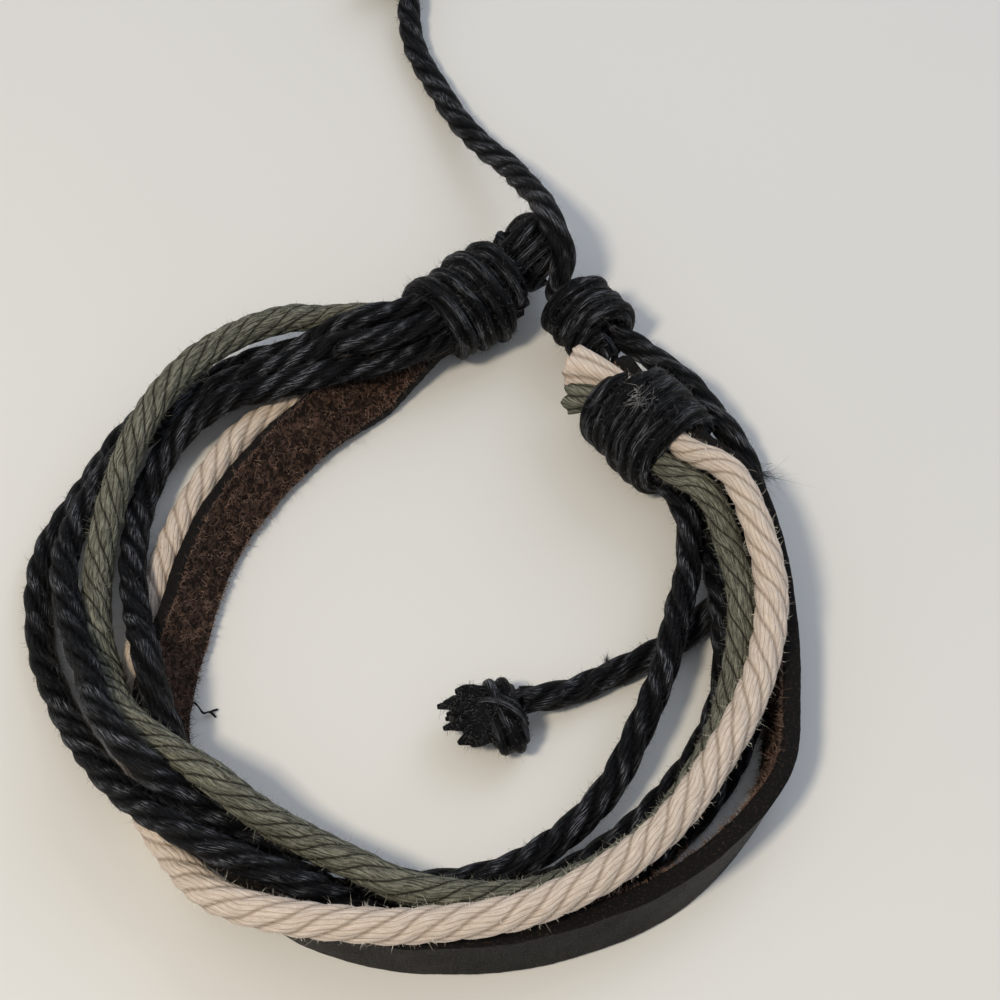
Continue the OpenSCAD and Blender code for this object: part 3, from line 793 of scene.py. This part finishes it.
def strand_route(column, place, diameter, gripped, tip, tip_swell):
    """A cord's control points with its radius, as in the part's source."""
    points = []
    for k, row in enumerate(CORD_SECTIONS):
        swell = min(1, (k + 1) / 3, (len(CORD_SECTIONS) - k) / 3)
        radius = (gripped + (diameter - gripped) * swell) / 2
        points.append((*polar(row[0], row[column], row[column + 1]), radius))
    points = between_wraps(place, points, (gripped / 2,), (gripped / 2,))
    if tip is not None:
        points.append((*tip, diameter / 2 * tip_swell))
    return points


def jagged(rings, depth, seed):
    """Roughens the cut face at a cord's tip and sinks its middle."""
    way = unit(rings[-1].mean(axis=0) - rings[-4].mean(axis=0))
    uneven = np.random.default_rng(seed).normal(0, depth, rings.shape[1])
    uneven = (uneven + np.roll(uneven, 1) + np.roll(uneven, 2)) * 0.6
    for back, share in ((1, 1.0), (2, 0.6), (3, 0.3)):
        rings[-back] += share * uneven[:, None] * way
    centre = rings[-1].mean(axis=0)
    inner = [centre + (rings[-1] - centre) * size - drop * way
             for size, drop in ((0.93, 0.02), (0.75, 0.12), (0.4, 0.2))]
    return np.concatenate([rings, inner])


def strand(name, node, points, look, seed, colour, loose=0.0):
    """One cord of the bracelet, whose plies run straight over its last loose millimetres."""
    sizes = bpy.context.scene.bracelet_strands
    path = smooth(points, sizes.step)
    rings, length, ply = cord_rings(path, path[:, 3], LAYS[look], seed, sizes.sides, loose=loose)
    if loose:
        rings = jagged(rings, depth=0.16, seed=seed)
        length = np.concatenate([length, length[-1:] + 0.1, length[-1:] + 0.2, length[-1:] + 0.3])
        ply = np.concatenate([ply, ply[-1:], ply[-1:], ply[-1:]])
    keep_surface(colour, rings, skip=12)
    return skin_piece(name, [(rings, length, ply)], [look], [node])


class BRACELET_OT_cords(bpy.types.Operator):
    """The cream, olive and three black cords"""
    bl_idname = "bracelet.cords"
    bl_label = "Cords"

    def execute(self, context):
        z = context.scene.bracelet_strands
        cream = strand_route(CREAM, 1, z.cream, z.gripped, CREAM_TIP, 1.45)
        strand("cream_strand", "cream_cord", cream, "cream_cotton", 11, "cream", loose=5.0)
        olive = strand_route(OLIVE, 2, z.olive, z.gripped, OLIVE_TIP, 1.15)
        strand("olive_strand", "olive_cord", olive, "olive_cotton", 12, "olive", loose=4.0)
        for name, column, place, seed in (
                ("outer", OUTER, 3, 13), ("middle", MIDDLE, 4, 14), ("inner", INNER, 5, 15)):
            route = strand_route(column, place, z.black, z.gripped, None, 1)
            strand(name + "_strand", "black_cord_" + name, route, "waxed_cord", seed,
                   "black")
        return {"FINISHED"}


def strap_path(step):
    """The strap's middle line with its lean and the share of its full section."""
    sizes = bpy.context.scene.bracelet_strands
    w, t = sizes.strap_width, sizes.strap_thickness
    gripped = 0.94
    points = []
    for angle, r, lean, lift in STRAP_SECTIONS:
        turn = math.radians(lean)
        height = w / 2 * math.cos(turn) + t / 2 * abs(math.sin(turn)) + lift
        points.append((*polar(angle, r, height), lean, 1))
    points = between_wraps(0, points, (90, gripped), (0, gripped))
    return smooth(points + [(*STRAP_TIP, 0, gripped)], step)


def strap_outline(w, t, corner):
    """Points round the strap's section with the face that each one starts, 0 smooth, 1 edge, 2 suede."""
    edge = np.linspace(-(t / 2 - corner), t / 2 - corner, 6)
    face = np.linspace(w / 2 - corner, -(w / 2 - corner), 26)
    bow = np.radians(np.array([22.5, 45, 67.5]))
    a, b = w / 2 - corner, t / 2 - corner
    half = (
        (1, np.full(6, w / 2), edge),
        (1, a + corner * np.cos(bow), b + corner * np.sin(bow)),
        (0, face, np.full(26, t / 2)),
        (1, -a - corner * np.sin(bow), b + corner * np.cos(bow)),
    )
    stretches = half + tuple((look or 2, -across, -through) for look, across, through in half)
    points = np.concatenate([np.stack([across, through], axis=1) for _, across, through in stretches])
    return points, np.concatenate([np.full(len(across), look) for look, across, _ in stretches])


def ripple(s, a, seed, count=14, wave=0.9):
    """A two-way uneven field, mostly between -1 and 1, for relief that a mesh can hold."""
    rng = np.random.default_rng(seed)
    total = np.zeros(np.broadcast(s, a).shape)
    for _ in range(count):
        turn, size, phase = rng.uniform(0, math.pi), wave * rng.uniform(0.5, 1.6), rng.uniform(0, 6.3)
        total = total + np.sin(2 * math.pi * (s * math.cos(turn) + a * math.sin(turn)) / size + phase)
    return total / math.sqrt(count)


class BRACELET_OT_strap(bpy.types.Operator):
    """The leather strap with its smooth face, cut edges and suede face"""
    bl_idname = "bracelet.strap"
    bl_label = "Leather strap"

    def execute(self, context):
        sizes = context.scene.bracelet_strands
        path = strap_path(step=0.3)
        s = running(path)
        way = unit(np.gradient(path[:, :3], axis=0))
        side = unit(np.stack([way[:, 1], -way[:, 0], np.zeros(len(way))], axis=1))
        up = np.cross(side, way)
        lean = np.radians(path[:, 3])[:, None]
        across = np.sin(lean) * side + np.cos(lean) * up
        face = np.cos(lean) * side - np.sin(lean) * up
        corner, rounded_end = 0.28, 1.5
        outline, looks = strap_outline(sizes.strap_width, sizes.strap_thickness, corner)
        a, b = (np.outer(path[:, 4], column) for column in outline.T)
        rounding = np.clip((s[-1] - s) / rounded_end, 0.0, 1.0)
        a = a * np.sqrt(1 - (1 - rounding) ** 2 * 0.92)[:, None]
        a = a + 0.08 * drift(s, 41, ((5.0, 0.4), (1.9, 0.3), (0.8, 0.3)))[:, None] * np.sign(a)
        rough = ripple(s[:, None], a, 42, wave=1.6)
        b = b + np.where(looks[None, :] == 2, 0.10 * rough, 0.0)
        b = b + np.where(looks[None, :] == 0, 0.03 * ripple(s[:, None], a, 43, wave=5.0), 0.0)
        rings = path[:, None, :3] + a[:, :, None] * across[:, None, :] + b[:, :, None] * face[:, None, :]
        rings[:, :, 2] = np.maximum(rings[:, :, 2], 0.0)
        round_place = running(np.concatenate([outline, outline[:1]]))
        length = np.broadcast_to(s[:, None], (len(s), len(round_place)))
        around = np.broadcast_to(round_place, length.shape)
        skin_piece("strap", [(rings, length, around, looks)], ["smooth_leather", "cut_edge", "suede"],
                   ["leather_strap"])
        self.nap(rings, s, a, face, looks)
        return {"FINISHED"}

    def nap(self, rings, s, a, face, looks):
        """Curled fibres on the raised clumps of the suede, and a fringe along its two edges."""
        sizes = bpy.context.scene.bracelet_fuzz
        rng = np.random.default_rng(44)
        columns = np.flatnonzero(looks == 2)
        hidden, tries, fringe = 28, 20000, 4200
        i = rng.integers(hidden, len(rings) - 1, tries)
        j = rng.choice(columns, len(i))
        raised = ripple(s[i], a[i, j], 42, wave=1.6) > 0.3
        i, j = i[raised], j[raised]
        edges = rng.choice(columns[[0, -1]], fringe)
        outward = np.zeros((len(i) + fringe, 3))
        i = np.concatenate([i, rng.integers(hidden, len(rings) - 1, fringe)])
        j = np.concatenate([j, edges])
        outward[-fringe:] = unit(rings[i, j] - rings[i].mean(axis=1))[-fringe:]
        count = len(i)
        roots = rings[i, j] + rng.normal(0, 0.05, (count, 3))
        ways = -face[i] + 1.3 * outward + rng.normal(0, 0.7, (count, 3))
        bends = rng.normal(0, 0.9, (count, 3))
        lengths = sizes.nap * rng.beta(1.5, 2.5, count) + 0.08
        low = (roots + unit(ways) * lengths[:, None])[:, 2] < 0.05
        ways[low, 2] = np.abs(ways[low, 2])
        finish_piece(fibre_mesh("suede_nap", roots, ways, bends, lengths, 0.07, "suede_fibre"))


def tucked(t, turns, share, depth):
    """How far a winding sinks towards its two ends, over the given share of a turn."""
    return depth * np.clip(1 - np.minimum(t, 1 - t) * turns / share, 0, 1) ** 2


def wrap_paths(mouth, angle, length, turns, girth, seed):
    """The winding of one wrap with its radii. girth is the outer radius at its mouth and at its end."""
    knots = bpy.context.scene.bracelet_knots
    thick = knots.cord / 2
    t = np.linspace(0, 1, int(turns * 24) + 1)
    uneven = drift(turns * t, seed, ((1.7, 0.6), (0.6, 0.4)))
    reach = girth[0] + (girth[1] - girth[0]) * t - thick + 0.16 * uneven - tucked(t, turns, 0.22, 1.5)
    sway = 0.18 * drift(turns * t, seed + 1, ((1.3, 0.6), (0.7, 0.4)))
    along = 0.7 * thick + (length - 1.4 * thick) * t + sway
    swell = thick * (1 + 0.07 * drift(turns * t, seed + 2, ((1.9, 0.6), (0.45, 0.4))))
    return coil_around(mouth, heading(angle), reach, along, 90 + 360 * turns * t), swell


class BRACELET_OT_wraps(bpy.types.Operator):
    """The two cord wraps"""
    bl_idname = "bracelet.wraps"
    bl_label = "Wraps"

    def execute(self, context):
        knots = context.scene.bracelet_knots
        left = wrap_paths(LEFT_MOUTH, LEFT_HEADING, LEFT_LENGTH, knots.left_turns, (4.2, 4.9), 51)
        right = wrap_paths(RIGHT_MOUTH, RIGHT_HEADING, RIGHT_LENGTH, knots.right_turns, (4.75, 4.8), 52)
        wound("left_wrap_coil", ["left_wrap"], [left], 53)
        wound("right_wrap_coil", ["right_wrap"], [right], 54)
        return {"FINISHED"}


class BRACELET_OT_sliding_knots(bpy.types.Operator):
    """The round knot and the barrel knot"""
    bl_idname = "bracelet.sliding_knots"
    bl_label = "Sliding knots"

    def execute(self, context):
        knots = context.scene.bracelet_knots
        thick = knots.cord / 2 * 0.92
        t = np.linspace(0, 1, 97)
        round_turns, highest = 3.3, 62
        latitude = np.radians(-highest + 2 * highest * t)
        ball = knots.round_diameter / 2 - thick
        path = coil_around(ROUND_KNOT, ROUND_TURNS_WAY, ball * np.cos(latitude), ball * np.sin(latitude),
                           360 * round_turns * t)
        across = coil_around(ROUND_KNOT, (-0.75, -0.35, 0.5), np.full(9, ball + 0.25), np.zeros(9),
                             np.linspace(-70, 60, 9))
        wound("round_knot_coil", ["round_slide_knot"], [(path, thick), (across, thick * 0.9)], 61)
        turns = 3.4
        t = np.linspace(0, 1, 81)
        reach = knots.barrel_diameter / 2 - thick - tucked(t, turns, 0.2, 0.9)
        span = knots.barrel_length - 2 * thick
        along = span * (t - 0.5) + 0.45
        path = coil_around(BARREL_KNOT, heading(BARREL_HEADING), reach, along, 90 - 360 * turns * t)
        wound("barrel_knot_coil", ["barrel_slide_knot"], [(path, thick)], 62)
        return {"FINISHED"}


# Loose fibres: the skins that they grow from, slot, material, share of the density, seed
FUZZY = (
    ("cream", "cream_cotton", "cream_fibre", 1.2, 81),
    ("olive", "olive_cotton", "olive_fibre", 1.5, 82),
    ("black", "black_waxed_cord", "black_fibre", 1.1, 83),
    ("knot", "black_waxed_cord", "knot_fibre", 2.3, 84),
)
MOST_FIBRES = 17000
TUFTS = (
    # name, root, spread, way, bend, count, length, finish
    ("wrap_tuft", (19.1, 17.2, 9.0), 1.1, (-0.5, -0.55, 0.25), 0.7, 46, 1.6, "pale_fibre"),
    ("cord_tuft", (15.9, -5.3, 2.4), 0.22, (-0.15, 1.0, 0.7), 0.12, 70, 1.25, "black_fibre"),
    ("edge_tuft", (29.7, 13.6, 2.6), 0.7, (0.8, -0.5, 0.2), 0.9, 60, 1.9, "black_fibre"),
)
# A loose curl of leather at the strap's lower edge, with its fork
STRAP_CURL = (
    ((-18.2, -7.9, 0.6), (-17.8, -7.85, 0.9), (-17.4, -8.2, 0.85), (-17.0, -8.6, 0.5), (-16.5, -8.4, 0.3),
     (-16.0, -8.85, 0.25)),
    ((-16.6, -8.45, 0.3), (-16.3, -8.3, 0.3), (-15.9, -8.1, 0.2)),
)


class BRACELET_OT_fibres(bpy.types.Operator):
    """Loose fibres on every cord, a few tufts and a loose curl of the strap"""
    bl_idname = "bracelet.fibres"
    bl_label = "Loose fibres"

    def execute(self, context):
        sizes = context.scene.bracelet_fuzz
        curl = [cord_rings(smooth(route, 0.08), 0.11, LAYS["frayed_ply"], 95, sides=8, carried=True)
                for route in STRAP_CURL]
        skin_piece("strap_curl", curl, ["cut_edge"])
        for kind, slot, look, share, seed in FUZZY:
            surfaces = SURFACES[kind]
            total = sum(running(rings.mean(axis=1))[-1] for rings in surfaces)
            count = min(MOST_FIBRES, int(total * sizes.density * share))
            finish_piece(fuzz(kind + "_fuzz", surfaces, count, sizes.length, sizes.width, seed, look))
        for k, (name, root, spread, way, bend, count, length, look) in enumerate(TUFTS):
            rng = np.random.default_rng(90 + k)
            roots = np.array(root) + rng.normal(0, spread / 2, (count, 3)) * (1, 1, 0.25)
            ways = np.array(way) + rng.normal(0, 0.35, (count, 3))
            bends = rng.normal(0, bend, (count, 3)) * (1, 1, 0.4)
            lengths = length * rng.uniform(0.4, 1.0, count)
            roots[:, 2] = np.maximum(roots[:, 2], 0.1)
            finish_piece(fibre_mesh(name, roots, ways, bends, lengths, sizes.width, look))
        return {"FINISHED"}


OPERATORS = (
    BRACELET_OT_stage, BRACELET_OT_pull_cords, BRACELET_OT_strap, BRACELET_OT_cords,
    BRACELET_OT_wraps, BRACELET_OT_sliding_knots, BRACELET_OT_fibres,
)


class BRACELET_PT_sidebar(bpy.types.Panel):
    """Lists the bracelet's pieces"""
    bl_idname = "BRACELET_PT_sidebar"
    bl_label = "Strand Bracelet"
    bl_space_type = "VIEW_3D"
    bl_region_type = "UI"
    bl_category = "Bracelet"

    def draw(self, context):
        for operator in OPERATORS:
            self.layout.operator(operator.bl_idname)


CLASSES = (*GROUPS.values(), *OPERATORS, BRACELET_PT_sidebar)


def register():
    for kind in CLASSES:
        bpy.utils.register_class(kind)
    for name, group in GROUPS.items():
        setattr(bpy.types.Scene, name, PointerProperty(type=group))


def unregister():
    for name in GROUPS:
        delattr(bpy.types.Scene, name)
    for kind in reversed(CLASSES):
        bpy.utils.unregister_class(kind)


def main():
    register()
    bpy.ops.object.select_all(action="DESELECT")
    for operator in OPERATORS:
        group, name = operator.bl_idname.split(".")
        getattr(getattr(bpy.ops, group), name)()


if __name__ == "__main__":
    main()
